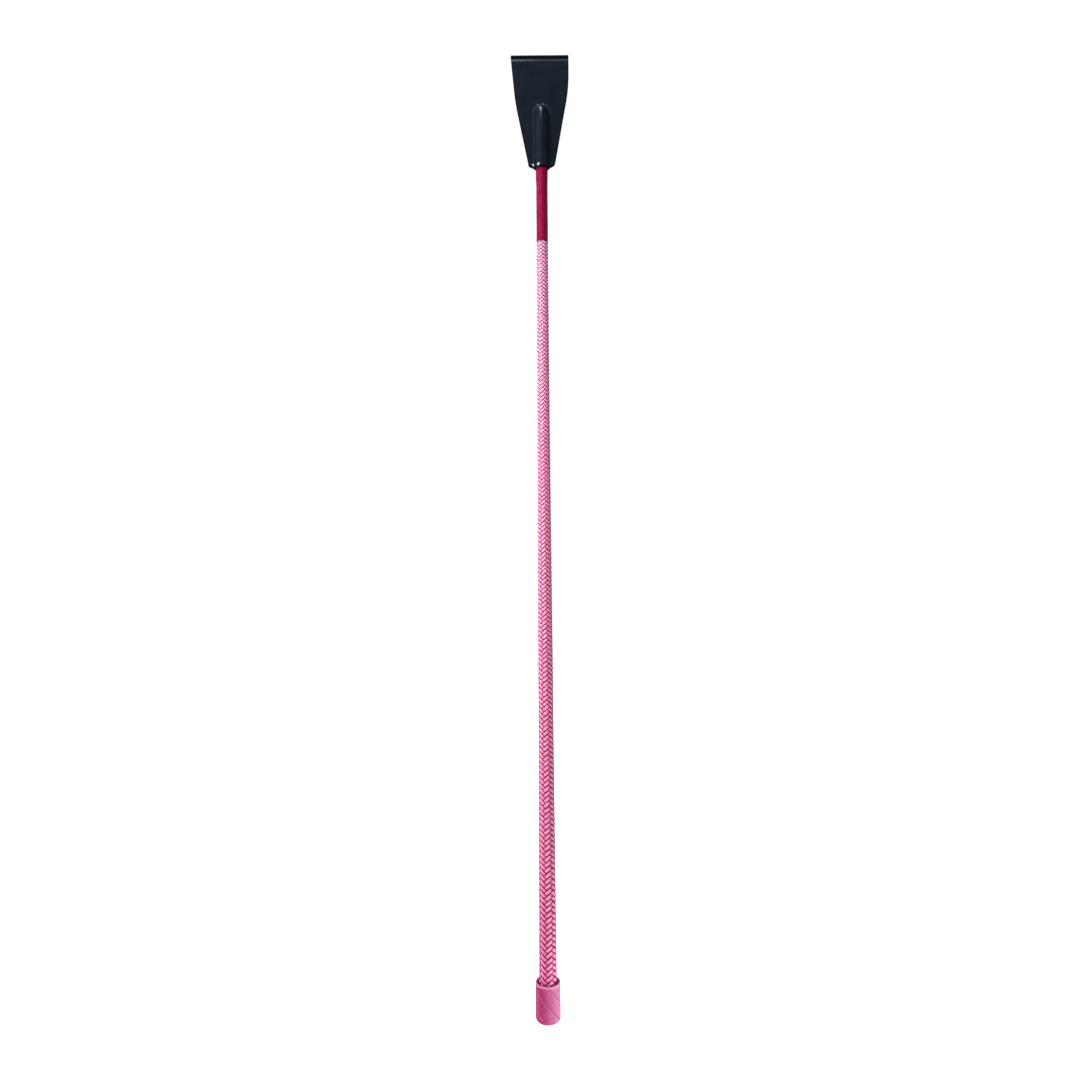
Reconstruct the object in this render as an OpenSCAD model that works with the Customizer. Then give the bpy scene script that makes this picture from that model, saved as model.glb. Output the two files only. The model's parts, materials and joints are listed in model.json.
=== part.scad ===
// Riding crop: a sprung, braided shaft with a folded leather tongue at the tip and a rubber cap at the butt.
// Millimetres. Z runs along the shaft from the foot of the butt cap to the tip of the tongue,
// X is across the tongue's width, and Y is through its thickness. The tongue's front faces -Y.

/* [Shaft] */
// Height at which the braided cover stops and the whipping starts
braid_end = 524; // [480:2:560]
// Diameter that the braid's taper would have at the foot of the cap
shaft_butt_d = 12.46; // [11.5:0.02:13]
// Diameter of the shaft where the braid ends
shaft_tip_d = 7.56; // [7.2:0.02:8.2]
// How much the taper is hollowed at mid-length, in diameter
taper_hollow = 2.3; // [0:0.1:3]
// Wall of the braided cover
braid_wall = 1; // [0.8:0.05:1.1]
// Diameter of the fibreglass rod at the butt
rod_butt_d = 6; // [5:0.1:6.4]
// Diameter of the fibreglass rod at its tip
rod_tip_d = 4; // [3:0.1:4.2]

/* [Bending] */
// Height of the lowest bending station, just above the hand
first_bend = 180; // [150:2:190]
// Distance from one bending station to the next
bend_pitch = 96; // [80:2:98]
// How much larger than the shaft each round bending face is, in radius
bend_swell = 0.8; // [0.5:0.1:1.2]
// Furthest turn of the tongue's free end to either side
tongue_swing = 60; // [30:1:65]

/* [Butt cap] */
// Outer diameter of the rubber cap
cap_d = 17; // [16:0.1:20]
// Height of the rubber cap
cap_h = 26; // [24:0.5:34]
// Thickness of the cap's closed foot
cap_floor = 5; // [3:0.5:6]
// Radius round the foot's edge
cap_foot_r = 2.2; // [1:0.1:3]
// Inner diameter of the cap's pocket
pocket_d = 13.4; // [13.3:0.1:14]
// Inner diameter of the cap's mouth
mouth_d = 14.4; // [14.1:0.1:14.6]

/* [Whipping and tip] */
// Thickness of the wound thread
thread_wall = 0.4; // [0.3:0.05:0.6]
// Height at which the whipping stops, inside the tongue
whipping_end = 600; // [590:1:602]
// Height at which the rod stops, inside the tip bead
rod_end = 608; // [606:0.5:609]

/* [Tongue] */
// Height of the tongue's folded tip
tongue_top = 650; // [640:1:670]
// Width of the tongue at its tip
tongue_w = 39.1; // [34:0.1:46]
// How far the middle of the tip stands to the left of the shaft's axis
tip_offset = 1; // [0:0.1:1.5]
// Width of the tongue at its shoulders
shoulder_w = 18.2; // [17:0.2:24]
// Height of the tongue's shoulders
shoulder_z = 577; // [575:0.5:580]
// Height of the tongue's lower edge, where the shaft enters
neck_z = 573.5; // [570:0.5:574]
// Height at which the left side's flare eases
left_knee = 619; // [610:1:636]
// How much the left side still widens above its knee
left_flare = 2.9; // [0:0.1:4]
// Height at which the right side turns straight
right_knee = 628; // [622:1:640]
// Thickness of one layer of leather
leather = 1.3; // [1:0.1:1.8]
// Height of the line that the tongue's free end bends about
crease_z = 620; // [619:0.5:624]
// Diameter of the bead that the fold leaves at the tip
fold_bead_d = 3.2; // [2.8:0.1:4]

/* [Hidden] */
$fn = 96;

slack = 0.05;          // gap between pieces that are glued or wound on each other
bend_gap = 0.1;        // gap between the two faces of a bending station
bends = 4;             // bending stations along the shaft
shaft_foot = cap_floor + slack;
bead_r = shaft_tip_d / 2;
pocket_r = bead_r + slack;
bulge_r = pocket_r + leather;
bead_z = rod_end + 2.7; // centre of the tip bead's round end
binding_z = 7;
binding_h = 8;
binding_wall = 0.4;
lip_r = (cap_d - mouth_d) / 4; // the cap's mouth ends in a full round, half its wall in radius
far = 60;              // reach of the cutting boxes, past every part of the crop's section

// Radius of the braided shaft, a taper that is a little hollow at mid-length
function shaft_r(z) = let (u = z / braid_end)
    (shaft_butt_d - (shaft_butt_d - shaft_tip_d) * u - taper_hollow * u * (1 - u)) / 2;

// Radius of the tapered fibreglass rod
function rod_r(z) = (rod_butt_d - (rod_butt_d - rod_tip_d) * z / rod_end) / 2;

// Height of bending station k, counted from 0, and the radius of its round face
function bend_z(k) = first_bend + k * bend_pitch;
function bend_r(k) = shaft_r(bend_z(k)) + bend_swell;

stations = concat([shaft_foot], [for (k = [0 : bends - 1]) bend_z(k)], [braid_end]);

// Point at share t of the curve that rounds the corner b between the points a and c
function rounded(a, b, c, t) = a * pow(1 - t, 2) + b * 2 * t * (1 - t) + c * pow(t, 2);

// One side of the tongue's outline, from the neck to the tip: a straight flare that eases at the corner
function tongue_side(corner, tip) = let (
        shoulder = [shoulder_w / 2, shoulder_z],
        turn = 9,
        down = corner - turn * (corner - shoulder) / norm(corner - shoulder),
        up = corner + turn * (tip - corner) / norm(tip - corner)
    )
    concat(
        [[bulge_r - 0.7, neck_z], shoulder],
        [for (t = [0 : 0.125 : 1]) rounded(down, corner, up, t)],
        [tip]
    );

tongue_outline = let (
        right_half = tongue_w / 2 - tip_offset,
        left_half = tongue_w / 2 + tip_offset,
        right = tongue_side([right_half, right_knee], [right_half, tongue_top]),
        left = tongue_side([left_half - left_flare, left_knee], [left_half, tongue_top])
    )
    concat(right, [for (i = [len(left) - 1 : -1 : 0]) [-left[i][0], left[i][1]]]);

// A tube round the shaft's axis that follows the shaft's stations between two radius functions
module shaft_tube(inner, outer) {
    rotate_extrude()
        polygon(concat(
            [for (z = stations) [inner(z), z]],
            [for (i = [len(stations) - 1 : -1 : 0]) [outer(stations[i]), stations[i]]]
        ));
}

// What lies in span i of the shaft: from one bending station's ball to the next one's socket
module in_span(i, top = braid_end) {
    low = i == 0 ? 0 : bend_z(i - 1);
    high = i == bends ? top : bend_z(i);
    difference() {
        intersection() {
            children();
            union() {
                translate([0, 0, low])
                    cylinder(h = high - low, r = far);
                if (i > 0)
                    translate([0, 0, low])
                        sphere(r = bend_r(i - 1));
            }
        }
        if (i < bends)
            translate([0, 0, high])
                sphere(r = bend_r(i) + bend_gap);
    }
}

// Rubber cap: a round-edged cup with a flared mouth
module butt_cap() {
    r = cap_d / 2;
    color("hotpink")
        rotate_extrude()
            union() {
                difference() {
                    square([r, cap_h - lip_r]);
                    translate([r - cap_foot_r, 0])
                        square(cap_foot_r);
                    polygon([
                        [0, cap_floor], [pocket_d / 2, cap_floor], [pocket_d / 2, cap_h - 7],
                        [mouth_d / 2, cap_h - lip_r], [mouth_d / 2, cap_h], [0, cap_h]
                    ]);
                }
                intersection() {
                    translate([r - cap_foot_r, cap_foot_r])
                        circle(r = cap_foot_r);
                    translate([r - cap_foot_r, 0])
                        square(cap_foot_r);
                }
                translate([r - lip_r, cap_h - lip_r])
                    circle(r = lip_r);
            }
}

// Thread wound round the braid's end, hidden in the cap
module butt_binding() {
    top = binding_z + binding_h;
    color("ivory")
        rotate_extrude()
            polygon([
                [shaft_r(binding_z) + slack, binding_z], [shaft_r(binding_z) + binding_wall, binding_z],
                [shaft_r(top) + binding_wall, top], [shaft_r(top) + slack, top]
            ]);
}

// Fibreglass rod, one span at a time
module core_rod(i) {
    color("khaki")
        in_span(i, rod_end)
            translate([0, 0, shaft_foot])
                cylinder(h = rod_end - shaft_foot, r1 = rod_r(shaft_foot), r2 = rod_r(rod_end));
}

// Soft sleeve that builds the rod up to the taper under the braid, one span at a time
module core_sleeve(i) {
    color("gainsboro")
        in_span(i)
            shaft_tube(function (z) rod_r(z) + slack, function (z) shaft_r(z) - braid_wall - slack);
}

// Braided nylon cover, one span at a time
module braid(i) {
    color([0.87, 0.5 + 0.07 * i, 0.66 + 0.04 * i])
        in_span(i)
            shaft_tube(function (z) shaft_r(z) - braid_wall, function (z) shaft_r(z));
}

// Tube that fills the space between the rod and the whipping
module tip_sleeve() {
    foot = braid_end + slack;
    color("gainsboro")
        difference() {
            translate([0, 0, foot])
                cylinder(h = whipping_end - foot, r = bead_r - thread_wall - slack);
            translate([0, 0, braid_end])
                cylinder(
                    h = rod_end - braid_end, r1 = rod_r(braid_end) + slack, r2 = rod_r(rod_end) + slack
                );
        }
}

// Crimson thread wound tightly round the tip
module tip_whipping() {
    foot = braid_end + slack;
    color("crimson")
        translate([0, 0, foot])
            difference() {
                cylinder(h = whipping_end - foot, r = bead_r);
                translate([0, 0, -1])
                    cylinder(h = whipping_end - foot + 2, r = bead_r - thread_wall);
            }
}

// Round-ended nylon bead that covers the rod's tip inside the tongue
module tip_bead() {
    foot = whipping_end + slack;
    color("dimgray")
        difference() {
            union() {
                translate([0, 0, foot])
                    cylinder(h = bead_z - foot, r = bead_r);
                translate([0, 0, bead_z])
                    sphere(r = bead_r);
            }
            translate([0, 0, foot - 1])
                cylinder(h = rod_end - foot + 1 + slack, r = rod_r(foot) + slack);
        }
}

// The tongue's outline as a plate of leather whose faces lie at y0 and y1
module tongue_plate(y0, y1) {
    translate([0, y1, 0])
        rotate([90, 0, 0])
            linear_extrude(height = y1 - y0)
                polygon(tongue_outline);
}

// A round-ended peg along the shaft, from the neck to the tip bead
module tip_peg(r, foot) {
    translate([0, 0, foot])
        cylinder(h = bead_z - foot, r = r);
    translate([0, 0, bead_z])
        sphere(r = r);
}

// One layer of the tongue, from the neck to the crease, moulded round the tip. side is -1 in front, 1 behind
module tongue_leaf(side) {
    inner = side * slack;
    outer = side * (slack + leather);
    color("midnightblue")
        difference() {
            union() {
                difference() {
                    tongue_plate(min(inner, outer), max(inner, outer));
                    translate([-far / 2, -far / 2, crease_z])
                        cube([far, far, far]);
                    translate([0, 0, crease_z])
                        rotate([-side * (tongue_swing + 2), 0, 0])
                            translate([-far / 2, -far / 2, 0])
                                cube([far, far, far]);
                }
                intersection() {
                    tip_peg(bulge_r, neck_z);
                    translate([-far / 2, side > 0 ? slack : -far - slack, neck_z])
                        cube([far, far, far]);
                }
            }
            tip_peg(pocket_r, neck_z - 1);
        }
}

// The free end seen edge-on: two layers of leather, the fold's bead at the top and the groove pressed under it
module flap_profile() {
    half = slack + leather;
    bead = fold_bead_d / 2;
    groove_r = 0.4;
    foot = crease_z + slack;
    difference() {
        union() {
            translate([-half, foot])
                square([2 * half, tongue_top - bead - foot]);
            translate([0, tongue_top - bead])
                circle(r = bead);
        }
        for (side = [-1, 1])
            translate([side * (half + groove_r / 2), tongue_top - fold_bead_d - groove_r])
                circle(r = groove_r);
    }
}

// The tongue's free end, from the crease to the fold at the tip
module tongue_flap() {
    color("midnightblue")
        intersection() {
            tongue_plate(-fold_bead_d, fold_bead_d);
            translate([-far / 2, 0, 0])
                rotate([90, 0, 90])
                    linear_extrude(height = far)
                        flap_profile();
        }
}

butt_cap();
butt_binding();
core_rod(0);  // core_rod_grip
core_rod(1);  // core_rod_lower
core_rod(2);  // core_rod_middle
core_rod(3);  // core_rod_upper
core_rod(4);  // core_rod_tip
core_sleeve(0);  // core_sleeve_grip
core_sleeve(1);  // core_sleeve_lower
core_sleeve(2);  // core_sleeve_middle
core_sleeve(3);  // core_sleeve_upper
core_sleeve(4);  // core_sleeve_tip
braid(0);  // braid_grip
braid(1);  // braid_lower
braid(2);  // braid_middle
braid(3);  // braid_upper
braid(4);  // braid_tip
tip_sleeve();
tip_whipping();
tip_bead();
tongue_leaf(-1);  // tongue_front_leaf
tongue_leaf(1);  // tongue_back_leaf
tongue_flap();
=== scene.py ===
"""A riding crop: braided shaft, crimson whipping, folded leather tongue and rubber butt cap.

Metres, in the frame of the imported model: Z runs up the shaft, X is across the tongue, and the
tongue's front faces -Y. Angles round the shaft are measured from the front, growing towards +X.
"""

import json
import math

import bpy
import numpy as np
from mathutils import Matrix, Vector


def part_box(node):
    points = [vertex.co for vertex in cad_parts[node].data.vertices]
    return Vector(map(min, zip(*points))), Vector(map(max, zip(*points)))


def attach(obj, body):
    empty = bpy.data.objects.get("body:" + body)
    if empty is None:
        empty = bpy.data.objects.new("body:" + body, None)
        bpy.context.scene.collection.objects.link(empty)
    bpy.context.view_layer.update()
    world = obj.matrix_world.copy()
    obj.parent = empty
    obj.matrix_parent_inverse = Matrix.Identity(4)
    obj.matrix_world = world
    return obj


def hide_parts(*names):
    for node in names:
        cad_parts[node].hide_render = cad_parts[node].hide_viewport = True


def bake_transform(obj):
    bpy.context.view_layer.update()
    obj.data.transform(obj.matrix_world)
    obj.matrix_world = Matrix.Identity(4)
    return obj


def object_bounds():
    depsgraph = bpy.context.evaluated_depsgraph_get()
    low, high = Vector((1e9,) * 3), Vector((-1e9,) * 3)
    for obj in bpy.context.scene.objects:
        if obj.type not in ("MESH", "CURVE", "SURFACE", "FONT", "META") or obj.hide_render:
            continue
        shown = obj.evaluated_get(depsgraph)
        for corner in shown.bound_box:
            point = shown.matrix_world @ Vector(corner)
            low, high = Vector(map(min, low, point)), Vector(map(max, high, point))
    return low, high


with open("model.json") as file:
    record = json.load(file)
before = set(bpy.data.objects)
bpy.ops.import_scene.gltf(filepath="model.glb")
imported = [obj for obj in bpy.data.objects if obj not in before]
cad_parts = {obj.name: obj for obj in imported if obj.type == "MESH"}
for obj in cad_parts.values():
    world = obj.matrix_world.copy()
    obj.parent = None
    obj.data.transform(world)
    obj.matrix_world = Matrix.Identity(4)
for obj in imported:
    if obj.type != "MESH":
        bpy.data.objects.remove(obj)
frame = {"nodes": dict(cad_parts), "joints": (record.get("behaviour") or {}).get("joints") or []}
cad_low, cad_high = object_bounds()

MM = 0.001
TAU = 2 * math.pi

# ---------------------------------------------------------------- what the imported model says

BRAID_NODES = ["braid_grip", "braid_lower", "braid_middle", "braid_upper", "braid_tip"]
ROD_NODES = [n.replace("braid", "core_rod") for n in BRAID_NODES]

bend_joints = [j for j in frame["joints"] if j["name"] != "tongue_flex"]
bend_z = [j["pos_m"][2] for j in bend_joints]
bend_pitch = bend_z[1] - bend_z[0]

shaft_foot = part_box("braid_grip")[0].z
braid_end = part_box("braid_tip")[1].z
tip_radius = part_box("tip_whipping")[1].x

# The shaft is widest at the foot of each length, and tapers straight from one to the next
taper_z = [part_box(n)[0].z for n in BRAID_NODES] + [braid_end]
taper_r = [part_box(n)[1].x for n in BRAID_NODES] + [tip_radius]

rod_z = [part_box(n)[0].z for n in ROD_NODES] + [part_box("core_rod_tip")[1].z]
rod_r = [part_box(n)[1].x for n in ROD_NODES]
rod_taper = (rod_r[0] - rod_r[-1]) / (rod_z[-2] - rod_z[0])
rod_r.append(rod_r[-1] - rod_taper * (rod_z[-1] - rod_z[-2]))


def shaft_radius(z):
    """Radius of the braided shaft at height z."""
    return np.interp(z, taper_z, taper_r)


# ---------------------------------------------------------------- mesh helpers


def lattice(rows, columns, closed=False):
    """Quads over rows by columns of points. A closed lattice joins its last column to its first."""
    across = columns if closed else columns - 1
    i, k = np.meshgrid(np.arange(rows - 1), np.arange(across), indexing="ij")
    here = i * columns + k
    right = i * columns + (k + 1) % columns
    quads = np.stack([here, right, right + columns, here + columns], axis=-1)
    return quads.reshape(-1, 4).tolist()


def new_piece(name, points, faces, body, material, fields=None):
    """A smooth-shaded mesh that rides on a body, or on none yet.

    fields are extra values at the points, for the material.
    """
    points = np.asarray(points, float).reshape(-1, 3)
    mesh = bpy.data.meshes.new(name)
    mesh.from_pydata(points.tolist(), [], faces)
    mesh.shade_smooth()
    rest = mesh.attributes.new("rest", "FLOAT_VECTOR", "POINT")
    rest.data.foreach_set("vector", points.astype(np.float32).ravel())
    for key, values in (fields or {}).items():
        layer = mesh.attributes.new(key, "FLOAT", "POINT")
        layer.data.foreach_set("value", np.asarray(values, np.float32).ravel())
    mesh.materials.append(material)
    piece = bpy.data.objects.new(name, mesh)
    bpy.context.scene.collection.objects.link(piece)
    if body:
        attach(piece, body)
    return piece


def lathe(profile, columns):
    """Points of a profile of (radius, height) pairs turned round Z, one row for each pair."""
    profile = np.asarray(profile, float)
    angle = np.arange(columns) * TAU / columns
    x = profile[:, :1] * np.sin(angle)
    y = -profile[:, :1] * np.cos(angle)
    z = np.repeat(profile[:, 1:], columns, axis=1)
    return np.stack([x, y, z], axis=-1)


def ease(t):
    """0 to 1 with soft ends as t goes from 0 to 1."""
    t = np.clip(t, 0, 1)
    return t * t * (3 - 2 * t)


# ---------------------------------------------------------------- material helpers


class Material:
    """A node material built step by step round one Principled shader."""

    def __init__(self, name, roughness, **inputs):
        self.made = bpy.data.materials.new(name)
        self.made.use_nodes = True
        self.tree = self.made.node_tree
        self.shader = self.tree.nodes["Principled BSDF"]
        self.set("Roughness", roughness)
        for key, value in inputs.items():
            self.set(key.replace("_", " "), value)

    def put(self, socket, value):
        """A value, a colour or another node's output goes into a socket."""
        if isinstance(value, bpy.types.NodeSocket):
            self.tree.links.new(value, socket)
        elif socket.type == "RGBA":
            socket.default_value = (*value, 1)
        else:
            socket.default_value = value

    def set(self, name, value):
        """The same, for the shader's input of that name."""
        self.put(self.shader.inputs[name], value)

    def node(self, kind, links=None, **settings):
        """A node, its settings, and what goes into its inputs, by name or by number."""
        made = self.tree.nodes.new(kind)
        for key, value in settings.items():
            setattr(made, key, value)
        for key, value in (links or {}).items():
            self.put(made.inputs[key], value)
        return made

    def field(self, name):
        """One of the piece's own point fields."""
        return self.node("ShaderNodeAttribute", attribute_name=name)

    def scaled(self, vector, scale):
        """vector times scale, which has a value for each axis."""
        links = {0: vector, 1: scale}
        return self.node("ShaderNodeVectorMath", links, operation="MULTIPLY").outputs[0]

    def noise(self, vector, scale, detail=2.0, roughness=0.5):
        """Smooth random values from 0 to 1."""
        links = {"Vector": vector, "Scale": scale, "Detail": detail, "Roughness": roughness}
        return self.node("ShaderNodeTexNoise", links).outputs["Fac"]

    def math(self, operation, a, b=0.0):
        """One arithmetic step."""
        return self.node("ShaderNodeMath", {0: a, 1: b}, operation=operation).outputs[0]

    def remap(self, value, low, high, to_low=0.0, to_high=1.0):
        """value from low to high, spread from to_low to to_high and kept inside."""
        links = {"Value": value, 1: low, 2: high, 3: to_low, 4: to_high}
        return self.node("ShaderNodeMapRange", links).outputs[0]

    def mix(self, share, a, b, blend="MIX"):
        """Colour a going over to colour b."""
        links = {0: share, 6: a, 7: b}
        return self.node("ShaderNodeMix", links, data_type="RGBA", blend_type=blend).outputs[2]

    def ramp(self, value, stops):
        """Colours at places from 0 to 1."""
        made = self.node("ShaderNodeValToRGB", {"Fac": value})
        elements = made.color_ramp.elements
        while len(elements) < len(stops):
            elements.new(0.5)
        for element, (place, colour) in zip(elements, stops):
            element.position = place
            element.color = (*colour, 1)
        return made.outputs["Color"]

    def bump(self, height, distance, strength=1.0, under=None):
        """Raises the surface by height times distance. under is a bump beneath this one."""
        links = {"Height": height, "Distance": distance, "Strength": strength}
        if under is not None:
            links["Normal"] = under
        return self.node("ShaderNodeBump", links).outputs["Normal"]


# ---------------------------------------------------------------- materials

YARN_PLIES = 5  # parallel ends that lie side by side in each strand
# The yarn's pink up the braid, painted paler towards the tip as a painted highlight.
YARN_PINK_WITH_PAINTED_HIGHLIGHT = [  # share of the braid's height, and the yarn's colour there
    (0.0, (0.62, 0.030, 0.235)),
    (0.5, (0.67, 0.110, 0.300)),
    (1.0, (0.64, 0.200, 0.380)),
]
YARN_PAINTED_SHADE = (0.55, 0.20, 0.36)  # painted shade: multiplies the yarn's pink where a strand turns under another

THREAD_RED = (0.125, 0.0008, 0.021)
THREAD_WORN = (0.23, 0.0026, 0.044)
# Painted shade in the grooves between the turns of thread.
THREAD_GROOVE_SHADE = (0.012, 0.0001, 0.002)
THREAD_GLOSS = (1.0, 0.03, 0.2)

NAVY_DARK, NAVY_LIGHT = (0.0026, 0.0050, 0.0086), (0.0046, 0.0076, 0.0122)
# Darker along the leather's edges, and painted shade over the fold.
LEATHER_EDGE_AND_FOLD_SHADE = (0.0020, 0.0026, 0.0034)
LEATHER_GLOSS = (0.72, 0.86, 1.0)

# The second pink is painted light, for the side of the cap towards +X.
RUBBER_DEEP, RUBBER_PAINTED_LIGHT = (0.35, 0.018, 0.118), (0.62, 0.27, 0.46)
# Painted highlight on the ribs and the lip.
RUBBER_PAINTED_HIGHLIGHT = (0.60, 0.28, 0.43)
# Painted shade in the grooves.
RUBBER_GROOVE_SHADE = (0.12, 0.006, 0.040)
SIDE_LIGHT_FROM, SIDE_LIGHT_TO = -4 * MM, 8 * MM  # the x between which the painted side light comes in


def braid_material():
    """Flat satin yarn in plies, pink, and a little paler towards the tip as a painted highlight,
    with painted shade where strands turn under.
    """
    m = Material("braid_yarn", 0.4, IOR=2.0)
    height = m.field("height").outputs["Fac"]
    across = m.field("across").outputs["Fac"]
    yarn = m.field("yarn").outputs["Fac"]
    pink = m.ramp(height, YARN_PINK_WITH_PAINTED_HIGHLIGHT)
    pink_in_painted_shade = m.mix(1.0, pink, YARN_PAINTED_SHADE, "MULTIPLY")
    # Painted shade: the strands' edges and the parts that turn under another strand are darkened.
    edge = m.remap(m.math("ABSOLUTE", across), 0.62, 1.0, 0.0, 0.8)
    hidden = m.remap(m.field("dive").outputs["Fac"], 0.12, 0.6, 0.0, 0.95)
    sunk_painted_shade = m.math("MAXIMUM", edge, hidden)
    m.set("Specular IOR Level", m.remap(sunk_painted_shade, 0.0, 0.7, 0.9, 0.03))
    pink = m.mix(sunk_painted_shade, pink, pink_in_painted_shade)
    tone = m.remap(yarn, 0.0, 1.0, 0.92, 1.05)
    patchy = m.remap(m.noise(m.field("rest").outputs["Vector"], 260.0), 0.3, 0.7, 0.93, 1.05)
    varied = {"Color": pink, "Value": m.math("MULTIPLY", tone, patchy)}
    m.set("Base Color", m.node("ShaderNodeHueSaturation", varied).outputs["Color"])
    links = {0: across, 1: m.field("along").outputs["Fac"], 2: yarn}
    fibre = m.scaled(m.node("ShaderNodeCombineXYZ", links).outputs[0], (7.0, 0.55, 40.0))
    fibres = m.noise(fibre, 1.0, 3.0, 0.6)
    plies = m.math("ABSOLUTE", m.math("SINE", m.math("MULTIPLY", across, math.pi * YARN_PLIES / 2)))
    m.set("Roughness", m.remap(fibres, 0.3, 0.7, 0.38, 0.52))
    ridges = m.bump(m.math("POWER", plies, 0.5), 0.16 * MM, 0.7)
    m.set("Normal", m.bump(fibres, 0.12 * MM, 0.8, ridges))
    return m.made


def whipping_material():
    """Tight crimson thread with the fine twist of its fibres, some turns more worn than others, and
    painted shade in the grooves between turns.
    """
    m = Material("whipping_thread", 0.5)
    m.set("Specular IOR Level", 0.35)
    m.set("Specular Tint", THREAD_GLOSS)
    rest = m.field("rest").outputs["Vector"]
    groove = m.field("groove").outputs["Fac"]
    # Painted shade darkens the thread in the grooves between turns.
    red = m.mix(groove, THREAD_RED, THREAD_GROOVE_SHADE)
    turn_tone = m.noise(m.scaled(rest, (0.3, 0.3, 1.0)), 800.0, 3.0, 0.65)
    patch = m.remap(turn_tone, 0.4, 0.68, 0.0, 0.8)
    m.set("Base Color", m.mix(patch, red, THREAD_WORN))
    fibres = m.noise(m.scaled(rest, (1.0, 1.0, 2.6)), 2600.0, 2.0)
    m.set("Roughness", m.remap(fibres, 0.3, 0.7, 0.5, 0.65))
    m.set("Normal", m.bump(fibres, 0.06 * MM, 0.8))
    return m.made


def leather_material():
    """Near-black navy leather with a fine pebbled grain, glossy where it is rubbed or pinched,
    darker along its edges, with painted shade over the fold.
    """
    m = Material("tongue_leather", 0.4)
    rest = m.field("rest").outputs["Vector"]
    edge = m.field("edge").outputs["Fac"]
    polish = m.field("polish").outputs["Fac"]
    cloud = m.remap(m.noise(rest, 90.0, 4.0, 0.55), 0.35, 0.7)
    navy = m.mix(cloud, NAVY_DARK, NAVY_LIGHT)
    # Darker along the edges, and painted shade over the fold.
    m.set("Base Color", m.mix(edge, navy, LEATHER_EDGE_AND_FOLD_SHADE))
    cells = m.node("ShaderNodeTexVoronoi", {"Vector": rest, "Scale": 1500.0}, feature="F1")
    pebble = m.math("POWER", cells.outputs["Distance"], 1.6)
    fine = m.noise(rest, 2400.0, 3.0)
    wrinkle = m.noise(m.scaled(rest, (1.0, 1.0, 0.55)), 240.0, 3.0, 0.6)
    worn = m.remap(m.noise(rest, 140.0, 2.0), 0.35, 0.7, 0.42, 0.52)
    m.set("Roughness", m.remap(polish, 0.0, 1.0, worn, 0.22))
    dull = m.remap(edge, 0.0, 1.0, 0.04, 0.01)
    m.set("Specular IOR Level", m.remap(polish, 0.0, 1.0, dull, 1.0))
    m.set("IOR", m.remap(polish, 0.88, 1.0, 1.5, 2.6))
    m.set("Specular Tint", LEATHER_GLOSS)
    grain = m.bump(m.math("SUBTRACT", fine, pebble), 0.035 * MM, 0.55)
    m.set("Normal", m.bump(wrinkle, 0.16 * MM, 0.5, grain))
    return m.made


def rubber_material():
    """Matte pink moulded rubber, with painted shade in its grooves, painted highlights on its ribs
    and lip, and painted light that makes the +X side paler.
    """
    m = Material("cap_rubber", 0.5, Sheen_Weight=0.05, Sheen_Roughness=0.5)
    m.set("Specular IOR Level", 0.18)
    rest = m.field("rest").outputs["Vector"]
    groove = m.field("groove").outputs["Fac"]
    painted_highlight = m.field("painted_highlight").outputs["Fac"]
    cloud = m.noise(rest, 210.0, 4.0, 0.6)
    # Painted light: the cap is paler towards +X, as if lit from that side, with random patches.
    side = m.node("ShaderNodeSeparateXYZ", {0: rest}).outputs["X"]
    painted_light_side = m.remap(side, SIDE_LIGHT_FROM, SIDE_LIGHT_TO, 0.0, 0.6)
    painted_light_share = m.math("ADD", painted_light_side, m.remap(cloud, 0.3, 0.7, -0.08, 0.1))
    pink = m.mix(painted_light_share, RUBBER_DEEP, RUBBER_PAINTED_LIGHT)
    # Painted highlight on the lip and along each rib.
    pink = m.mix(m.math("MULTIPLY", painted_highlight, 0.55), pink, RUBBER_PAINTED_HIGHLIGHT)
    # Painted shade in the grooves.
    m.set("Base Color", m.mix(m.math("MULTIPLY", groove, 0.8), pink, RUBBER_GROOVE_SHADE))
    pores = m.noise(rest, 3200.0, 3.0)
    m.set("Roughness", m.remap(pores, 0.3, 0.7, 0.44, 0.58))
    m.set("Normal", m.bump(pores, 0.03 * MM, 0.6))
    return m.made


def inner_material(name, tone, other_tone, scale, stretch, roughness, distance):
    """A plain hidden material: two tones in streaks or pores, and the bump they make."""
    m = Material(name, roughness)
    where = m.node("ShaderNodeTexCoord").outputs["Object"]
    streaks = m.noise(m.scaled(where, stretch), scale, 3.0)
    m.set("Base Color", m.mix(m.remap(streaks, 0.35, 0.7), tone, other_tone))
    m.set("Roughness", m.remap(streaks, 0.3, 0.7, roughness - 0.06, roughness + 0.08))
    m.set("Normal", m.bump(streaks, distance, 0.7))
    return m.made


braid_yarn = braid_material()
whipping_thread = whipping_material()
tongue_leather = leather_material()
cap_rubber = rubber_material()
rod_glass = inner_material(
    "rod_fibreglass",
    tone=(0.62, 0.58, 0.36),
    other_tone=(0.50, 0.47, 0.28),
    scale=1500.0,
    stretch=(1, 1, 0.03),
    roughness=0.38,
    distance=0.02 * MM,
)
sleeve_foam = inner_material(
    "sleeve_foam",
    tone=(0.42, 0.10, 0.18),
    other_tone=(0.30, 0.06, 0.12),
    scale=1800.0,
    stretch=(1, 1, 1),
    roughness=0.7,
    distance=0.05 * MM,
)
binding_thread = inner_material(
    "binding_thread",
    tone=(0.80, 0.76, 0.66),
    other_tone=(0.62, 0.58, 0.48),
    scale=900.0,
    stretch=(1, 1, 3),
    roughness=0.65,
    distance=0.08 * MM,
)
bead_nylon = inner_material(
    "bead_nylon",
    tone=(0.022, 0.022, 0.024),
    other_tone=(0.03, 0.03, 0.032),
    scale=700.0,
    stretch=(1, 1, 1),
    roughness=0.3,
    distance=0.01 * MM,
)

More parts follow.
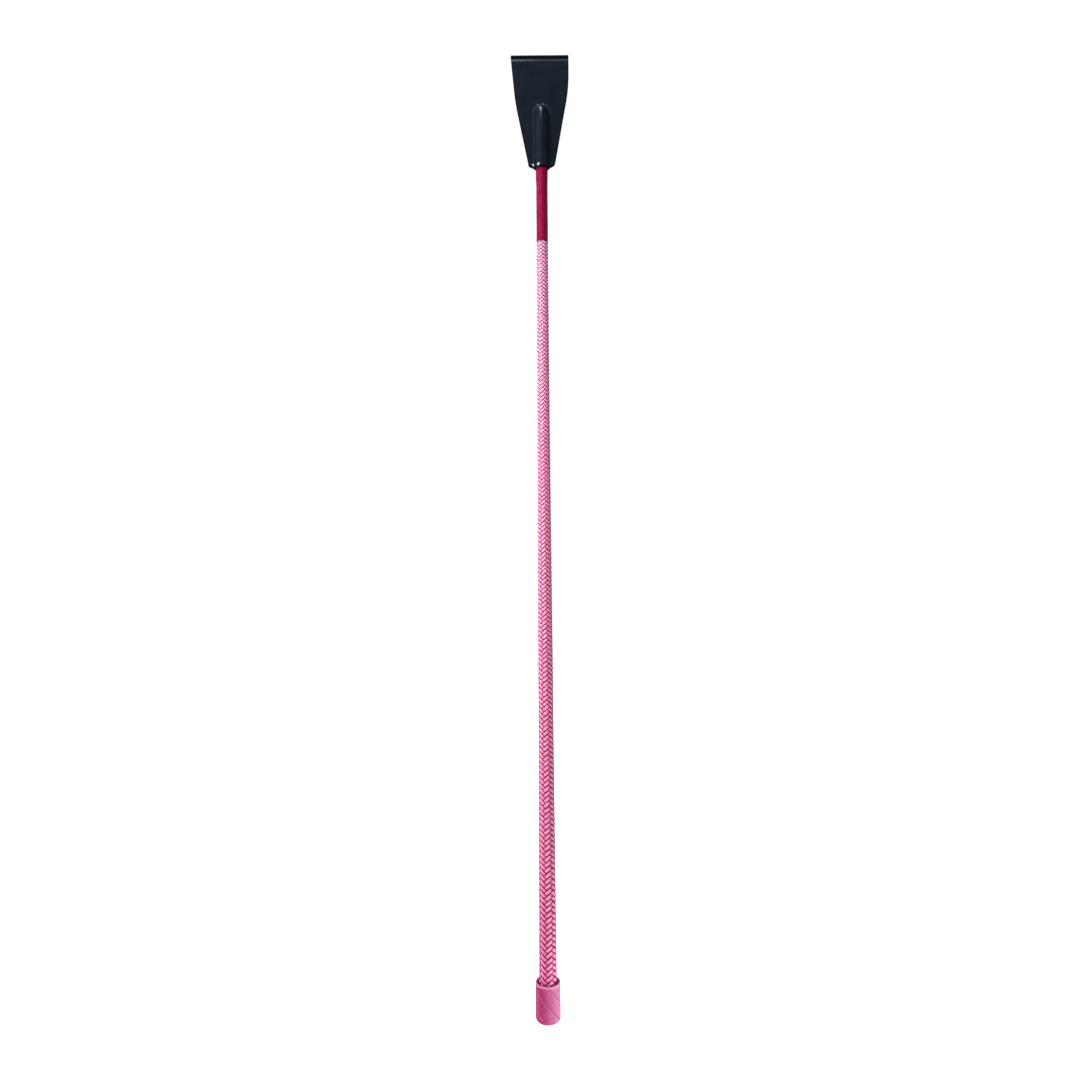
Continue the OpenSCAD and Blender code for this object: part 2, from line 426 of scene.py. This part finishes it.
for node_name, material in (
    ("butt_binding", binding_thread),
    ("tip_sleeve", sleeve_foam),
    ("tip_bead", bead_nylon),
):
    slots = frame["nodes"][node_name].data.materials
    slots.clear()
    slots.append(material)

# ---------------------------------------------------------------- the lengths of the shaft

# The braid, the sleeve and the rod are each made in four lengths that meet halfway between two
# joints.
split_z = [z + bend_pitch / 2 for z in bend_z[:-1]]


def lengths(foot, top):
    """(foot, top, joint) of each length of a layer that runs from foot to top."""
    ends = [foot, *split_z, top]
    return list(zip(ends[:-1], ends[1:], bend_joints))


def bend_over(piece):
    """Bakes the piece's placement into its points."""
    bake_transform(piece)


STRANDS = 8  # in each of the two directions
TWIST = 1.19  # tangent of the strands' angle to the shaft's axis
YARN_COVER = 0.8  # share of its lane that a strand fills
YARN_THICK = 0.125  # a strand's thickness as a share of the shaft's radius
YARN_REACH = 0.82  # from a strand's mid-layer to the shaft's surface, in strand thicknesses
WANDER = 0.05  # how far a strand strays from its lane, as a share of the lane
WANDER_RATE = 190  # radians of that stray for each metre of height
WANDER_APART = 2.4  # radians between the strays of one strand and the next
TONE_APART = 0.618  # between the tones of one strand and the next, as a share of their range
STEPS_PER_CROSSING = 4
COLUMN_START = math.radians(3)  # where the first column of raised strands stands at the butt
COLUMN_DRIFT = math.radians(40)  # how far the columns lean round over the braid's length
FLOAT_EDGE = 1.9  # how sharply a strand dives under the next one
FLOAT_CREST = math.tanh(FLOAT_EDGE * math.cos(math.pi / 4))

# Half a strand's section, seen along the shaft: (share of its half width, share of its thickness)
YARN_TOP = [(-1, 0), (-0.88, 0.27), (-0.5, 0.44), (0, 0.5), (0.5, 0.44), (0.88, 0.27), (1, 0)]
YARN_UNDER = [(0.62, -0.36), (0, -0.5), (-0.62, -0.36)]
yarn_section = np.array(YARN_TOP + YARN_UNDER)

fine_z = np.linspace(shaft_foot, braid_end, 4000)
fine_turn = np.concatenate(
    [[0], np.cumsum(np.diff(fine_z) * TWIST / shaft_radius((fine_z[1:] + fine_z[:-1]) / 2))]
)


def strand_points(lean, index, z):
    """One strand's rings of points at the heights z, and their fields.

    lean is 1 if the strand climbs towards +X, and -1 if it climbs towards -X.
    """
    turn = np.interp(z, fine_z, fine_turn)[:, None]
    drift = COLUMN_START - COLUMN_DRIFT * (z[:, None] - shaft_foot) / (braid_end - shaft_foot)
    lane = math.pi / STRANDS
    wander = WANDER * lane * np.sin(z[:, None] * WANDER_RATE + index * WANDER_APART + lean)
    across = yarn_section[:, 0][None, :]
    angle = lean * turn + drift + index * TAU / STRANDS + wander + lane * YARN_COVER * across
    met = STRANDS / TAU * (angle - drift + lean * turn)
    crest = lean * np.cos(math.pi / 2 * (index + met - 0.5))
    lift = np.tanh(FLOAT_EDGE * crest) / FLOAT_CREST / 2
    thick = YARN_THICK * shaft_radius(z)[:, None]
    radius = shaft_radius(z)[:, None] + thick * (lift + yarn_section[:, 1][None, :] - YARN_REACH)
    height = np.broadcast_to(z[:, None], angle.shape)
    points = np.stack([radius * np.sin(angle), -radius * np.cos(angle), height], axis=-1)
    along = np.broadcast_to(z[:, None] / MM * math.hypot(1, TWIST), angle.shape)
    dive = np.clip(0.5 - lift, 0, 1)
    return points, {"across": np.broadcast_to(across, angle.shape), "along": along, "dive": dive}


def braid_length(foot, top):
    """Points, faces and fields of all the strands from foot to top."""
    turns = np.interp([foot, top], fine_z, fine_turn)
    crossing = math.pi / STRANDS
    count = max(2, round((turns[1] - turns[0]) / crossing * STEPS_PER_CROSSING))
    z = np.interp(np.linspace(*turns, count + 1), fine_turn, fine_z)
    z[0], z[-1] = foot, top
    ring = len(yarn_section)
    body = lattice(len(z), ring, closed=True)
    points, faces = [], []
    fields = {"across": [], "along": [], "dive": [], "yarn": []}
    start = 0
    for lean in (1, -1):
        for index in range(STRANDS):
            strand, values = strand_points(lean, index, z)
            capped = np.concatenate([strand.reshape(-1, 3), strand[0], strand[-1]])
            points.append(capped)
            for key, value in values.items():
                fields[key].append(np.concatenate([value.ravel(), value[0], value[-1]]))
            tone = (index + STRANDS * (lean > 0)) * TONE_APART % 1
            fields["yarn"].append(np.full(len(capped), tone))
            rows = len(z) * ring
            faces += [[start + v for v in quad] for quad in body]
            faces.append([start + rows + k for k in reversed(range(ring))])
            faces.append([start + rows + ring + k for k in range(ring)])
            start += len(capped)
    points = np.concatenate(points)
    fields = {key: np.concatenate(values) for key, values in fields.items()}
    fields["height"] = (points[:, 2] - shaft_foot) / (braid_end - shaft_foot)
    return points, faces, fields


LENGTH_NAMES = ["lower", "middle", "upper", "tip"]
# The imported lengths that each length stands for
stood_for = {
    "lower": ["grip", "lower"],
    "middle": ["middle"],
    "upper": ["upper"],
    "tip": ["tip"],
}

for (foot, top, joint), name in zip(lengths(shaft_foot, braid_end), LENGTH_NAMES):
    points, faces, fields = braid_length(foot, top)
    piece = new_piece(
        f"braid_strands_{name}", points, faces, None, braid_yarn, fields
    )
    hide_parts(*[f"braid_{n}" for n in stood_for[name]])
    bend_over(piece)


TUBE_STEP, TUBE_COLUMNS = 4 * MM, 32
SLEEVE_GAP = 2.0  # from the shaft's surface to the sleeve, in strand thicknesses
ROD_CLEAR = 0.05 * MM  # between the rod and the sleeve
ROD_HEART = 0.02 * MM  # radius of the pinhole that the rod is turned round


def tube_length(name, foot, top, outer, inner, material, nodes):
    """A length of a layer that lies between two radii, which are functions of height."""
    z = np.linspace(foot, top, max(2, round((top - foot) / TUBE_STEP) + 1))
    wall = [(outer(h), h) for h in z] + [(inner(h), h) for h in z[::-1]]
    points = lathe(wall + wall[:1], TUBE_COLUMNS)
    faces = lattice(len(wall) + 1, TUBE_COLUMNS, closed=True)
    piece = new_piece(name, points, faces, None, material)
    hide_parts(*nodes)
    bend_over(piece)


for (foot, top, joint), name in zip(lengths(shaft_foot, braid_end), LENGTH_NAMES):
    tube_length(
        f"sleeve_{name}",
        foot,
        top,
        lambda h: shaft_radius(h) * (1 - YARN_THICK * SLEEVE_GAP),
        lambda h: np.interp(h, rod_z, rod_r) + ROD_CLEAR,
        sleeve_foam,
        [f"core_sleeve_{n}" for n in stood_for[name]],
    )

for (foot, top, joint), name in zip(lengths(rod_z[0], rod_z[-1]), LENGTH_NAMES):
    tube_length(
        f"rod_{name}",
        foot,
        top,
        lambda h: np.interp(h, rod_z, rod_r),
        lambda h: ROD_HEART,
        rod_glass,
        [f"core_rod_{n}" for n in stood_for[name]],
    )

# ---------------------------------------------------------------- whipping

whip_low, whip_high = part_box("tip_whipping")
WHIP_COLUMNS = 72
THREAD_PITCH = 0.78 * MM
THREAD_RELIEF = 0.16 * MM
THREAD_PROUD = 0.07 * MM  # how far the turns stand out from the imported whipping
THREAD_ROWS = 10  # in each turn
WHIP_WALL = 0.4 * MM
LAY_WAVE = 0.05 * MM  # how unevenly the layers of thread lie
LAY_RATES = 410, 137  # radians of that wave for each metre of height
NECK_SWELL = 0.2 * MM  # a second layer of thread thickens the whipping about the tongue's neck
SWELL_BELOW, SWELL_ABOVE = 12 * MM, 3 * MM  # how far from the neck that layer reaches


def whipping():
    """Thread wound round the tip, thicker about the tongue's neck."""
    columns = WHIP_COLUMNS
    rows = round((whip_high.z - whip_low.z) / THREAD_PITCH * THREAD_ROWS)
    z = np.linspace(whip_low.z, whip_high.z, rows)[:, None]
    angle = (np.arange(columns) * TAU / columns)[None, :]
    phase = (z / THREAD_PITCH - angle / TAU) % 1
    crown = np.sqrt(np.clip(1 - (2 * phase - 1) ** 2, 0, 1))
    lay = np.sin(z * LAY_RATES[0] + angle) * np.sin(z * LAY_RATES[1] - 2 * angle)
    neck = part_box("tongue_front_leaf")[0].z
    swell = ease((z - neck + SWELL_BELOW) / (8 * MM)) * ease((neck + SWELL_ABOVE - z) / (2 * MM))
    radius = whip_high.x + THREAD_PROUD - THREAD_RELIEF * (1 - crown) + LAY_WAVE * lay
    radius = radius + NECK_SWELL * swell
    radius = np.broadcast_to(radius, (rows, columns))
    height = np.broadcast_to(z, (rows, columns))
    outer = np.stack([radius * np.sin(angle), -radius * np.cos(angle), height], axis=-1)
    bore = whip_high.x - WHIP_WALL
    ends = lathe([(bore, whip_high.z), (bore, whip_low.z)], columns)
    points = np.concatenate([outer, ends, outer[:1]])
    # How far each point lies in the groove between turns, for the material's painted shade.
    groove = np.concatenate([(1 - crown) * np.ones((rows, columns)), np.zeros((3, columns))])
    faces = lattice(len(points), columns, closed=True)
    piece = new_piece(
        "whipping_turns",
        points,
        faces,
        "tip",
        whipping_thread,
        {"groove": groove},
    )
    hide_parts("tip_whipping")


whipping()

# ---------------------------------------------------------------- butt cap

cap_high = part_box("butt_cap")[1]
CAP_COLUMNS = 336
CAP_FLOOR = 5.0 * MM
CAP_FOOT_ROUND = 2.2 * MM
CAP_POCKET_R = 6.7 * MM
CAP_MOUTH_R = 7.2 * MM
CAP_FLARE = 7.0 * MM
GROOVE_STARTS = 20  # fine grooves round the cap in each direction
MAIN_EVERY = 4  # every fourth one that falls towards +X is pressed deep
GROOVE_SLOPE = 1.15
MAIN_RISE = 0.6 * MM  # height of a main groove at the front
FINE_DEPTH, FINE_WIDTH = 0.18 * MM, 0.95 * MM
MAIN_DEPTH, MAIN_WIDTH = 0.42 * MM, 1.1 * MM
RIB_HEIGHT, RIB_ASIDE = 0.12 * MM, 0.95 * MM  # the raised edge below each main groove
RIB_HIGHLIGHT = 0.4  # how pale that edge is painted, a painted highlight
PLAIN_BAND = 0.9 * MM  # the wall's ungrooved band at the foot and again under the lip
LIP_HIGHLIGHT_DROP = 1.1 * MM  # how far below the lip its painted highlight starts
CENTRE = 0.001  # share of a disc's radius at which its middle is closed


def groove_depth(arc, z, radius, starts, slope, width):
    """How deep each point lies in a set of slanting grooves, from 0 to 1."""
    spacing = TAU * radius * abs(slope) / starts
    phase = (z + slope * arc) / spacing
    gap = np.abs(phase - np.round(phase)) * spacing / math.hypot(1, slope)
    return ease(1 - gap / (width / 2))


def butt_cap():
    """The rubber cup: rounded foot, wall with a pressed lattice, rolled lip and flared mouth."""
    outer_r = cap_high.x
    lip_r = (outer_r - CAP_MOUTH_R) / 2
    quarter = np.linspace(-math.pi / 2, 0, 12)
    foot = [
        (outer_r - CAP_FOOT_ROUND * (1 - math.cos(a)), CAP_FOOT_ROUND * (1 + math.sin(a)))
        for a in quarter
    ]
    wall_top = cap_high.z - lip_r
    wall = [(outer_r, z) for z in np.linspace(CAP_FOOT_ROUND, wall_top, 150)[1:]]
    lip = [
        (outer_r - lip_r * (1 - math.cos(a)), wall_top + lip_r * math.sin(a))
        for a in np.linspace(0, math.pi, 14)[1:]
    ]
    flare_z = np.linspace(wall_top, cap_high.z - CAP_FLARE, 8)[1:]
    flare = [
        (CAP_MOUTH_R + (CAP_POCKET_R - CAP_MOUTH_R) * (wall_top - z) / (wall_top - flare_z[-1]), z)
        for z in flare_z
    ]
    flat_r = outer_r - CAP_FOOT_ROUND
    disc = [(share * flat_r, 0.0) for share in (CENTRE, 0.35, 0.7)]
    inside = [(CAP_POCKET_R, CAP_FLOOR), (CENTRE * CAP_POCKET_R, CAP_FLOOR)]
    profile = disc + foot + wall + lip + flare + inside
    points = lathe(profile, CAP_COLUMNS)
    height = points[..., 2]
    angle = np.broadcast_to(np.arange(CAP_COLUMNS) * TAU / CAP_COLUMNS, height.shape)
    arc = angle * outer_r
    rows = np.arange(len(profile))
    first_row = len(disc) + 4  # some way up the foot's rounding
    on_wall = (rows >= first_row) & (rows < len(disc) + len(foot) + len(wall))
    fade_low = ease((height - PLAIN_BAND) / (1.6 * MM))
    fade_high = ease((wall_top - PLAIN_BAND - height) / (0.8 * MM))
    fade = fade_low * fade_high * on_wall[:, None]
    fine = np.maximum(
        groove_depth(arc, height, outer_r, GROOVE_STARTS, GROOVE_SLOPE, FINE_WIDTH),
        groove_depth(arc, height, outer_r, GROOVE_STARTS, -GROOVE_SLOPE, FINE_WIDTH),
    )
    starts = GROOVE_STARTS // MAIN_EVERY
    climb = height - MAIN_RISE
    main = groove_depth(arc, climb, outer_r, starts, GROOVE_SLOPE, MAIN_WIDTH)
    rib = groove_depth(arc, climb + RIB_ASIDE, outer_r, starts, GROOVE_SLOPE, MAIN_WIDTH)
    depth = fade * (np.maximum(fine * FINE_DEPTH, main * MAIN_DEPTH) - rib * RIB_HEIGHT)
    shrink = 1 - depth / outer_r
    points[..., 0] *= shrink
    points[..., 1] *= shrink
    # Painted highlights: a pale band under the lip, and along the rib below each main groove.
    outside = np.hypot(points[..., 0], points[..., 1]) > CAP_MOUTH_R
    lip_highlight = ease((height - wall_top + LIP_HIGHLIGHT_DROP) / (1.2 * MM)) * outside
    painted_highlight = np.maximum(lip_highlight, fade * rib * RIB_HIGHLIGHT)
    # The groove field paints shade into the grooves.
    piece = new_piece(
        "butt_cap_moulding",
        points,
        lattice(len(profile), CAP_COLUMNS, closed=True),
        "grip",
        cap_rubber,
        {"groove": np.clip(depth / MAIN_DEPTH, 0, 1), "painted_highlight": painted_highlight},
    )
    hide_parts("butt_cap")


butt_cap()

# ---------------------------------------------------------------- tongue

flap_low, flap_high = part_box("tongue_flap")
leaf_low, leaf_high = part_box("tongue_front_leaf")
bead_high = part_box("tip_bead")[1]
tip_z = flap_high.z
neck_z = leaf_low.z
bulge_r = -leaf_low.y
fold_r = flap_high.y
inner_gap = -leaf_high.y
LEATHER = 1.3 * MM
SHOULDER_HALF = 9.1 * MM
SHOULDER_RISE = 3.5 * MM  # from the neck to the shoulders
NECK_HALF = bulge_r - 0.7 * MM
LEFT_KNEE_DROP = 31 * MM  # below the tip, where the left side's flare eases
LEFT_FLARE = 2.9 * MM  # how much the left side still widens above its knee
RIGHT_KNEE_DROP = 22 * MM
KNEE_TURN = 9 * MM
FILLET = 2.0 * MM  # how softly the leather leaves the pocket
EDGE_ROUND = 0.42 * MM
RIM = 0.9 * MM  # width of the burnished band along the leather's edges
dome_z = bead_high.z - bead_high.x
groove_z = tip_z - 2 * fold_r - 0.15 * MM
TONGUE_COLUMNS = 112
FINE_STRETCH = 6 * MM  # length of the densely divided stretch under the fold
NICK_PITCH = 1.53 * MM
NICK_TALL, CREASE_DEEP = 0.26 * MM, 0.42 * MM
PLEATS = 18  # in a whole turn round the pocket's top
PLEAT_REACH = 5.7 * MM  # from the pocket's rounded top's centre to the pleats
PLEAT_TALL, WRINKLE_TALL = 0.3 * MM, 0.42 * MM
WRINKLE_BEND = 0.08 / MM  # how sharply the long wrinkle hooks towards -X
WRINKLE_HALF = 4.4 * MM  # its reach up and down
ROLL_RISE, ROLL_TALL = 1.3 * MM, 0.28 * MM  # the neck's rolled rim
UNEVEN = 0.07 * MM  # slow waves in the leather
# Where the neck's rolled rim is rubbed bright: (x in mm, share)
NECK_SHINE = [(-6.1, 1.0), (-2.3, 1.0), (7.2, 0.4)]


def side_half(z, tip_half, knee_drop, flare):
    """Half width at height z of the side that is tip_half wide at the tip."""
    shoulder = np.array([SHOULDER_HALF, neck_z + SHOULDER_RISE])
    knee = np.array([tip_half - flare, tip_z - knee_drop])
    tip = np.array([tip_half, tip_z])
    start = knee - KNEE_TURN * (knee - shoulder) / np.hypot(*(knee - shoulder))
    end = knee + KNEE_TURN * (tip - knee) / np.hypot(*(tip - knee))
    t = np.linspace(0, 1, 12)[:, None]
    turn = start * (1 - t) ** 2 + knee * 2 * t * (1 - t) + end * t**2
    outline = np.concatenate([[shoulder], turn, [tip]])
    return np.interp(z, outline[:, 1], outline[:, 0])


def skin_height(rho, depth):
    """Height over the mid-plane of the leather's face, rho from the pocket's axis.

    depth is how far under the outer face, so 0 there and LEATHER on the inner face.
    """
    top_r = bulge_r - depth
    flat = inner_gap + LEATHER - depth
    centre_y = inner_gap + LEATHER + FILLET
    centre_x = math.sqrt((bulge_r + FILLET) ** 2 - centre_y**2)
    turn = FILLET + depth
    leave = top_r * centre_x / (bulge_r + FILLET)
    dome = np.sqrt(np.clip(top_r**2 - rho**2, 0, None))
    fillet = centre_y - np.sqrt(np.clip(turn**2 - (centre_x - rho) ** 2, 0, None))
    return np.where(rho < leave, dome, np.where(rho < centre_x, fillet, flat))


def bell(distance, width):
    """1 at no distance, falling softly to nothing over about twice the width."""
    return np.exp(-((distance / width) ** 2))


def pressed_line(x, z):
    """Height and polish of the line under the fold: a crease, and a ridge nicked like stitches.

    The nicks are deeper and the polish is stronger towards -X, where the line is more worn.
    """
    worn = ease(0.5 - (x + 5 * MM) / (10 * MM))
    nick = (0.2 + 0.8 * worn) * (0.5 + 0.5 * np.cos(x / NICK_PITCH * TAU))
    crease = bell(z - groove_z - 0.35 * MM, 0.38 * MM)
    ridge = bell(z - groove_z + 0.7 * MM, 0.7 * MM)
    height = NICK_TALL * ridge * (1 - nick) - CREASE_DEEP * crease
    polish = 0.85 * ridge * (0.65 + 0.35 * worn) * (1 - 0.5 * nick)
    return height, polish


def pucker(x, z, rho):
    """Height and polish of the pleats round the top of the pocket, and of one long wrinkle."""
    around = np.arctan2(x, z - dome_z)
    pleats = np.cos(PLEATS / 2 * around + 0.9) ** 6 * bell(rho - PLEAT_REACH, 0.8 * MM)
    above = ease((z - dome_z + 3 * MM) / (3 * MM))
    to_right = 0.08 + 0.92 * ease(0.5 + x / (2 * MM))
    pleats = pleats * above * to_right
    middle = -WRINKLE_BEND * np.clip(z - dome_z, 0, None) ** 2
    wrinkle = bell(x - middle, 0.62 * MM) * bell(z - dome_z, WRINKLE_HALF)
    return PLEAT_TALL * pleats + WRINKLE_TALL * wrinkle, np.clip(pleats + wrinkle, 0, 0.93)


def tongue():
    """One strip of leather as a closed skin: up the front, over the tip and down the back."""
    edge_steps = EDGE_ROUND * np.array([0, 0.08, 0.3, 0.62, 1.0])
    inner_u = np.linspace(-1, 1, TONGUE_COLUMNS)[1:-1]
    columns = len(inner_u) + 2 * len(edge_steps)
    flat_top = tip_z - fold_r
    tall = flat_top - neck_z
    fine = FINE_STRETCH
    rise = np.concatenate(
        [
            edge_steps[:-1],
            np.linspace(EDGE_ROUND, 3 * MM, 12)[:-1],
            np.linspace(3 * MM, tall - fine, 118)[:-1],
            np.linspace(tall - fine, tall, 32),
        ]
    )
    rise = rise / tall
    fold = np.linspace(0, math.pi, 17)[1:-1]

    def place_across(z):
        """x of every column at the heights z, and its distance from the tongue's side."""
        left = side_half(z, -flap_low.x, LEFT_KNEE_DROP, LEFT_FLARE)
        right = side_half(z, flap_high.x, RIGHT_KNEE_DROP, 0)
        u = np.concatenate([np.full(len(edge_steps), -1), inner_u, np.full(len(edge_steps), 1)])
        inset = np.concatenate([edge_steps, np.full(len(inner_u), EDGE_ROUND), edge_steps[::-1]])
        half = np.where(u < 0, left, right)
        x = u * (half - inset)
        return x, half - np.abs(x)

    def rounded_edge(reach):
        """How far the face drops at this distance from the leather's edge."""
        inside = np.clip(EDGE_ROUND - reach, 0, None)
        return EDGE_ROUND - np.sqrt(np.clip(EDGE_ROUND**2 - inside**2, 0, None))

    def flat_row(side, share, depth):
        """One row across the front (side -1) or the back (side 1): points, edge and polish.

        share is how far up the row lies, from the neck's rim to where the fold starts.
        """
        x, _ = place_across(np.full(columns, neck_z + SHOULDER_RISE))
        out = np.clip((np.abs(x) - NECK_HALF) / (SHOULDER_HALF - NECK_HALF), 0, 1)
        # The leather's lower edge climbs from the neck, gently and then steeply at the shoulder
        step = np.where(x < 0, 0.8, 1.15) * SHOULDER_RISE
        bottom = neck_z + step * (0.62 * out**0.8 + 0.38 * out**12)
        z = bottom + share * (flat_top - bottom)
        x, gap = place_across(z)
        rho = np.where(z < dome_z, np.abs(x), np.hypot(x, z - dome_z))
        y = skin_height(rho, depth)
        near_fold = np.clip((z - groove_z) / (flat_top - groove_z), 0, 1)
        y = y + (fold_r - inner_gap - LEATHER) * np.sqrt(1 - (1 - near_fold) ** 2) * (depth == 0)
        climb = share * tall
        sides, foot = np.clip(1 - gap / RIM, 0, 1), np.clip(1 - climb / RIM, 0, 1)
        # The sides and foot are darker, and painted shade darkens the rows towards the fold.
        edge = sides + foot + 0.8 * ease(near_fold * 2)
        polish = np.zeros(columns)
        if depth == 0:
            line, line_polish = pressed_line(x, z)
            pleats, pleat_polish = pucker(x, z, rho)
            rim = bell(climb - ROLL_RISE, 0.75 * MM) * (0.25 + 0.75 * bell(x + 4 * MM, 3.5 * MM))
            uneven = UNEVEN * np.sin(x * 310 + side) * np.sin(z * 260 + 1.3)
            y = y + line + pleats + uneven + ROLL_TALL * rim
            rubbed = sum(share * bell(x - at * MM, 0.8 * MM) for at, share in NECK_SHINE)
            polish = np.clip(line_polish + pleat_polish + 1.8 * rim * rubbed, 0, 1)
        drop = rounded_edge(np.minimum(gap, climb))
        y = y + (drop if depth else -drop)
        return np.stack([x, side * y, z], axis=-1), np.clip(edge, 0, 1), polish

    def fold_row(a, depth):
        """One row over the fold, a half turn from front to back: points, edge and polish."""
        x, gap = place_across(np.full(columns, flat_top))
        drop = rounded_edge(gap)
        r = fold_r - depth * (fold_r - inner_gap) / LEATHER + (drop if depth else -drop)
        z = flat_top + r * math.sin(a)
        # Painted shade darkens the whole fold.
        edge = np.maximum(0.8, np.clip(1 - gap / RIM, 0, 1))
        return np.stack([x, -r * math.cos(a), z], axis=-1), edge, np.zeros(columns)

    def sheet(depth):
        """Points, edge and polish over one face of the strip. depth is 0 on the outer face."""
        rows = [flat_row(-1, share, depth) for share in rise]
        rows += [fold_row(a, depth) for a in fold]
        rows += [flat_row(1, share, depth) for share in rise[::-1]]
        return [np.array(part) for part in zip(*rows)]

    outer, outer_edge_and_fold_shade, outer_polish = sheet(0.0)
    inner, inner_edge_and_fold_shade, inner_polish = sheet(LEATHER)
    rows = len(outer)
    count = rows * columns
    outer_faces = lattice(rows, columns)
    inner_faces = [[v + count for v in reversed(quad)] for quad in outer_faces]
    first = list(range(columns))
    last = [count - columns + k for k in range(columns)]
    left = [r * columns for r in range(rows)]
    right = [r * columns + columns - 1 for r in range(rows)]
    rim_faces = []
    for line, flip in ((first, True), (last, False), (left, False), (right, True)):
        for a, b in zip(line[:-1], line[1:]):
            quad = [a, b, b + count, a + count]
            rim_faces.append(quad if flip else quad[::-1])
    piece = new_piece(
        "tongue_strip",
        np.concatenate([outer.reshape(-1, 3), inner.reshape(-1, 3)]),
        outer_faces + inner_faces + rim_faces,
        None,
        tongue_leather,
        {
            "edge": np.concatenate([outer_edge_and_fold_shade.ravel(), inner_edge_and_fold_shade.ravel()]),
            "polish": np.concatenate([outer_polish.ravel(), inner_polish.ravel()]),
        },
    )
    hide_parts("tongue_front_leaf", "tongue_back_leaf", "tongue_flap")
    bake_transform(piece)


tongue()

# ---------------------------------------------------------------- floor, light and camera


def area_light(name, where, aim, size, power, spread=180):
    """A soft oblong lamp that faces the point aim. spread is the width of its beam in degrees."""
    lamp = bpy.data.lights.new(name, "AREA")
    lamp.shape = "RECTANGLE"
    lamp.size, lamp.size_y = size
    lamp.energy = power
    lamp.spread = math.radians(spread)
    made = bpy.data.objects.new(name, lamp)
    made.location = where
    made.rotation_euler = (Vector(aim) - Vector(where)).to_track_quat("-Z", "Y").to_euler()
    made.visible_camera = False
    bpy.context.scene.collection.objects.link(made)


# How bright the floor and the backdrop are to the camera, and as sources of light
FLOOR_SEEN, FLOOR_LIGHT = 1.05, 0.35
WORLD_SEEN, WORLD_LIGHT = 1.05, 0.62
FLOOR_HALF, FLOOR_DROP = 1.2, 0.5 * MM


def studio():
    """A plain white floor and backdrop, and four lamps.

    A tall panel at the left gives the satin its long highlight. The key and the top lamp shape the
    tongue from above, and a small one low on the right lights the cap's far side.
    """
    floor_mesh = bpy.data.meshes.new("floor")
    half = FLOOR_HALF
    corners = [(-half, -half, 0), (half, -half, 0), (half, half, 0), (-half, half, 0)]
    floor_mesh.from_pydata(corners, [], [(0, 1, 2, 3)])
    floor = bpy.data.objects.new("floor", floor_mesh)
    floor.location.z = -FLOOR_DROP
    bpy.context.scene.collection.objects.link(floor)
    m = Material("floor_white", 0.8)
    m.set("Base Color", (0.8, 0.8, 0.8))
    m.set("Emission Color", (1, 1, 1))
    seen = m.node("ShaderNodeLightPath").outputs["Is Camera Ray"]
    m.set("Emission Strength", m.remap(seen, 0.0, 1.0, FLOOR_LIGHT, FLOOR_SEEN))
    floor_mesh.materials.append(m.made)

    world = bpy.data.worlds.new("studio")
    bpy.context.scene.world = world
    world.use_nodes = True
    tree = world.node_tree
    shade = tree.nodes["Background"]
    shade.inputs["Color"].default_value = (1, 1, 1, 1)
    path = tree.nodes.new("ShaderNodeLightPath")
    strength = tree.nodes.new("ShaderNodeMapRange")
    strength.inputs["To Min"].default_value = WORLD_LIGHT
    strength.inputs["To Max"].default_value = WORLD_SEEN
    tree.links.new(path.outputs["Is Camera Ray"], strength.inputs["Value"])
    tree.links.new(strength.outputs["Result"], shade.inputs["Strength"])

    tall = cad_high.z
    area_light("key", (-0.48, -0.40, 1.6 * tall), (0, 0, 0.65 * tall), (0.25, 0.35), 0.3, 36)
    area_light("panel", (-0.44, -0.26, 0.68 * tall), (0, 0, 0.68 * tall), (0.34, 0.62), 1.6, 110)
    area_light("top", (-0.16, -0.2, 1.6 * tall), (0, 0, 0.9 * tall), (0.2, 0.2), 2.7)
    area_light("low_right", (0.075, -0.035, 0.010), (0, 0, 0.012), (0.03, 0.02), 0.045)


CAMERA_ASIDE = -3.1 * MM
CAMERA_BACK, CAMERA_UP = 0.831, 0.4975  # as shares of the crop's height
CAMERA_ROLL = math.radians(0.44)
CAMERA_LENS, CAMERA_SENSOR = 26.7, 36  # mm


def camera():
    """Level with the middle of the crop, close in front of it, and rolled a little."""
    lens = bpy.data.cameras.new("camera")
    lens.sensor_width = CAMERA_SENSOR
    lens.lens = CAMERA_LENS
    made = bpy.data.objects.new("camera", lens)
    made.location = (CAMERA_ASIDE, -CAMERA_BACK * cad_high.z, CAMERA_UP * cad_high.z)
    made.rotation_euler = (math.pi / 2, CAMERA_ROLL, 0)
    bpy.context.scene.collection.objects.link(made)
    bpy.context.scene.camera = made


studio()
camera()
bpy.context.scene.view_settings.view_transform = "Standard"
